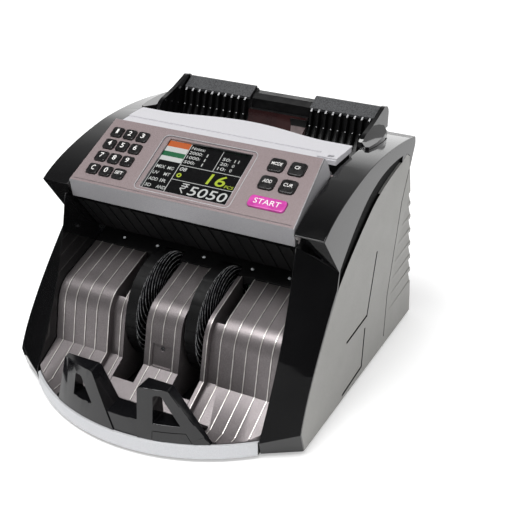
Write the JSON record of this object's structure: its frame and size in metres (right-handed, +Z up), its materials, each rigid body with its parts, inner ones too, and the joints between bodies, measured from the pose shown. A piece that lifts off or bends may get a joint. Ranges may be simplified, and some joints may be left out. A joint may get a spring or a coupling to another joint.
{
  "type": "banknote counting machine",
  "caption": "Table-top banknote counter with a sloping control panel, a hopper on top, an open stacker in front, bladed stacking wheels and belt-driven feed rollers.",
  "frame": {"origin": "centre of the footprint's box, on the table under the feet", "axes": "+Z up, the stacker and the panel face -Y, +X to the right seen from the front"},
  "size_m": [0.267, 0.2969, 0.204],
  "materials": {
    "gloss_black": "high gloss",
    "side_silver": "satin silver paint",
    "rim_silver": "satin silver paint",
    "light_silver": "satin silver paint",
    "panel_silver": "fine metallic paint",
    "guide_grey": "metallic grey paint",
    "smoke_black": "smoked gloss",
    "matt_black": "matt",
    "pad_grey": "textured",
    "key_black": "soft sheen",
    "start_magenta": "gloss",
    "lens_glass": "clear",
    "board_green": "solder mask",
    "rubber_black": "matt",
    "roller_rubber": "matt",
    "wheel_black": "semi gloss",
    "steel": "brushed",
    "bronze": "sintered",
    "switch_red": "gloss"
  },
  "bodies": {
    "case": {"base_tray": "rim_silver", "rubber_feet": "rubber_black", "left_side_fairing": "gloss_black", "right_side_fairing": "gloss_black", "left_side_cover": "side_silver", "right_side_cover": "side_silver", "rear_cover": "matt_black", "hopper_strip": "light_silver", "hopper_tray": "matt_black", "note_combs": "pad_grey", "left_hopper_wing": "gloss_black", "right_hopper_wing": "gloss_black", "feed_guide": "matt_black", "left_stack_guide": "guide_grey", "centre_stack_guide": "guide_grey", "right_stack_guide": "guide_grey", "stopper_plate": "smoke_black", "throat_guide": "matt_black", "inner_frame": "steel", "sensor_bar": "matt_black", "drive_motor": "steel", "drive_belts": "matt_black", "shaft_bushes": "bronze", "main_board": "board_green", "power_inlet": "matt_black", "display_socket": "matt_black", "cover_screws": "steel"},
    "panel": {"control_panel": "panel_silver", "panel_back": "matt_black", "screen_lens": "lens_glass", "display_board": "board_green"},
    "key_1": {"key_1": "key_black"},
    "key_2": {"key_2": "key_black"},
    "key_3": {"key_3": "key_black"},
    "key_4": {"key_4": "key_black"},
    "key_5": {"key_5": "key_black"},
    "key_6": {"key_6": "key_black"},
    "key_7": {"key_7": "key_black"},
    "key_8": {"key_8": "key_black"},
    "key_9": {"key_9": "key_black"},
    "key_clear": {"key_clear": "key_black"},
    "key_0": {"key_0": "key_black"},
    "key_set": {"key_set": "key_black"},
    "mode_button": {"mode_button": "key_black"},
    "count_button": {"count_button": "key_black"},
    "add_button": {"add_button": "key_black"},
    "value_button": {"value_button": "key_black"},
    "start_button": {"start_button": "start_magenta"},
    "fan_axle": {"fan_shaft": "steel", "left_fan_wheel": "wheel_black", "right_fan_wheel": "wheel_black"},
    "feed_axle": {"feed_shaft": "steel", "feed_rollers": "roller_rubber"},
    "pickup_axle": {"pickup_shaft": "steel", "pickup_rollers": "roller_rubber"},
    "transport_axle": {"transport_shaft": "steel"},
    "pinch_axle": {"pinch_rollers": "steel"},
    "motor_rotor": {"motor_pulley": "steel"},
    "gap_knob": {"adjusting_knob": "matt_black"},
    "power_rocker": {"power_switch": "switch_red"}
  },
  "joints": [
    {"name": "panel_hinge", "type": "hinge", "parent": "case", "child": "panel", "pos_m": [0, 0.026, 0.181], "axis": [-1, 0, 0], "range_deg": [0, 36]},
    {"name": "key_1_press", "type": "slide", "parent": "panel", "child": "key_1", "axis": [0, 0.4415, -0.8973], "range_m": [0, 0.0008], "stiffness_N_per_m": 500, "springref_m": -0.0006},
    {"name": "key_2_press", "type": "slide", "parent": "panel", "child": "key_2", "axis": [0, 0.4415, -0.8973], "range_m": [0, 0.0008], "stiffness_N_per_m": 500, "springref_m": -0.0006},
    {"name": "key_3_press", "type": "slide", "parent": "panel", "child": "key_3", "axis": [0, 0.4415, -0.8973], "range_m": [0, 0.0008], "stiffness_N_per_m": 500, "springref_m": -0.0006},
    {"name": "key_4_press", "type": "slide", "parent": "panel", "child": "key_4", "axis": [0, 0.4415, -0.8973], "range_m": [0, 0.0008], "stiffness_N_per_m": 500, "springref_m": -0.0006},
    {"name": "key_5_press", "type": "slide", "parent": "panel", "child": "key_5", "axis": [0, 0.4415, -0.8973], "range_m": [0, 0.0008], "stiffness_N_per_m": 500, "springref_m": -0.0006},
    {"name": "key_6_press", "type": "slide", "parent": "panel", "child": "key_6", "axis": [0, 0.4415, -0.8973], "range_m": [0, 0.0008], "stiffness_N_per_m": 500, "springref_m": -0.0006},
    {"name": "key_7_press", "type": "slide", "parent": "panel", "child": "key_7", "axis": [0, 0.4415, -0.8973], "range_m": [0, 0.0008], "stiffness_N_per_m": 500, "springref_m": -0.0006},
    {"name": "key_8_press", "type": "slide", "parent": "panel", "child": "key_8", "axis": [0, 0.4415, -0.8973], "range_m": [0, 0.0008], "stiffness_N_per_m": 500, "springref_m": -0.0006},
    {"name": "key_9_press", "type": "slide", "parent": "panel", "child": "key_9", "axis": [0, 0.4415, -0.8973], "range_m": [0, 0.0008], "stiffness_N_per_m": 500, "springref_m": -0.0006},
    {"name": "key_clear_press", "type": "slide", "parent": "panel", "child": "key_clear", "axis": [0, 0.4415, -0.8973], "range_m": [0, 0.0008], "stiffness_N_per_m": 500, "springref_m": -0.0006},
    {"name": "key_0_press", "type": "slide", "parent": "panel", "child": "key_0", "axis": [0, 0.4415, -0.8973], "range_m": [0, 0.0008], "stiffness_N_per_m": 500, "springref_m": -0.0006},
    {"name": "key_set_press", "type": "slide", "parent": "panel", "child": "key_set", "axis": [0, 0.4415, -0.8973], "range_m": [0, 0.0008], "stiffness_N_per_m": 500, "springref_m": -0.0006},
    {"name": "mode_button_press", "type": "slide", "parent": "panel", "child": "mode_button", "axis": [0, 0.4415, -0.8973], "range_m": [0, 0.001], "stiffness_N_per_m": 500, "springref_m": -0.0006},
    {"name": "count_button_press", "type": "slide", "parent": "panel", "child": "count_button", "axis": [0, 0.4415, -0.8973], "range_m": [0, 0.001], "stiffness_N_per_m": 500, "springref_m": -0.0006},
    {"name": "add_button_press", "type": "slide", "parent": "panel", "child": "add_button", "axis": [0, 0.4415, -0.8973], "range_m": [0, 0.001], "stiffness_N_per_m": 500, "springref_m": -0.0006},
    {"name": "value_button_press", "type": "slide", "parent": "panel", "child": "value_button", "axis": [0, 0.4415, -0.8973], "range_m": [0, 0.001], "stiffness_N_per_m": 500, "springref_m": -0.0006},
    {"name": "start_button_press", "type": "slide", "parent": "panel", "child": "start_button", "axis": [0, 0.4415, -0.8973], "range_m": [0, 0.001], "stiffness_N_per_m": 500, "springref_m": -0.0006},
    {"name": "feed_spin", "type": "hinge", "parent": "case", "child": "feed_axle", "pos_m": [0, 0.066, 0.124], "axis": [1, 0, 0], "continuous": true},
    {"name": "fan_spin", "type": "hinge", "parent": "case", "child": "fan_axle", "pos_m": [0, -0.0295, 0.061], "axis": [1, 0, 0], "continuous": true},
    {"name": "pickup_spin", "type": "hinge", "parent": "case", "child": "pickup_axle", "pos_m": [0, 0.098, 0.139], "axis": [1, 0, 0], "continuous": true},
    {"name": "transport_spin", "type": "hinge", "parent": "case", "child": "transport_axle", "pos_m": [0, 0.02, 0.106], "axis": [1, 0, 0], "continuous": true},
    {"name": "pinch_spin", "type": "hinge", "parent": "case", "child": "pinch_axle", "pos_m": [0, 0.0243, 0.1279], "axis": [1, 0, 0], "continuous": true},
    {"name": "motor_spin", "type": "hinge", "parent": "case", "child": "motor_rotor", "pos_m": [0, 0.095, 0.045], "axis": [1, 0, 0], "continuous": true},
    {"name": "gap_knob_turn", "type": "hinge", "parent": "case", "child": "gap_knob", "pos_m": [0, 0.14, 0.146], "axis": [0, 1, 0], "range_deg": [-270, 270]},
    {"name": "power_rock", "type": "hinge", "parent": "case", "child": "power_rocker", "pos_m": [0.108, 0.14, 0.034], "axis": [1, 0, 0], "range_deg": [0, 14]}
  ],
  "couplings": [
    {"joint": "fan_spin", "follows": "feed_spin", "ratio": 0.7},
    {"joint": "pickup_spin", "follows": "feed_spin", "ratio": 1},
    {"joint": "transport_spin", "follows": "feed_spin", "ratio": 1.8919},
    {"joint": "pinch_spin", "follows": "feed_spin", "ratio": -2.8378},
    {"joint": "motor_spin", "follows": "feed_spin", "ratio": 1.75}
  ]
}
